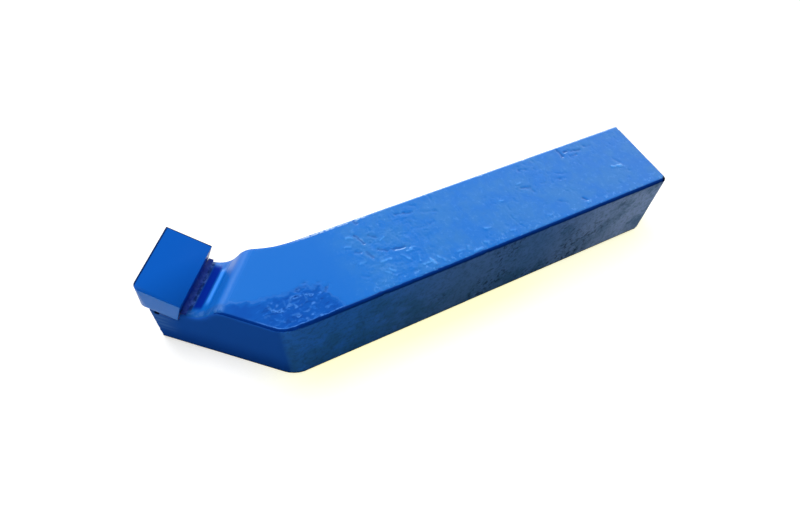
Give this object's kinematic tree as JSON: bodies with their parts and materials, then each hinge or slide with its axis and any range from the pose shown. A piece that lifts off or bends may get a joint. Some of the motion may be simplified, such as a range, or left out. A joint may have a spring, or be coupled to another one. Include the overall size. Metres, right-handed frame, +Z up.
{
  "type": "lathe turning tool",
  "caption": "Bent left-hand lathe turning tool: painted square steel shank with an angled head and a brazed carbide tip for turning and chamfering.",
  "frame": {"origin": "on the underside of the shank, on its centre line, level with the outer corner of the bend", "axes": "+X along the shank from the bend to the back end, +Y towards the side the head is bent to, +Z up, out of the clamping face"},
  "size_m": [0.1244, 0.0332, 0.0203],
  "materials": {
    "shank_paint": "glossy blue enamel over rolled and forged steel, slightly wrinkled",
    "tip_paint": "smooth glossy blue enamel over ground cemented carbide",
    "braze": "brass filler and flux residue, rough, dusted with the blue enamel"
  },
  "bodies": {
    "root": {"shank": "shank_paint", "carbide_tip": "tip_paint", "braze_layer": "braze"}
  },
  "joints": []
}
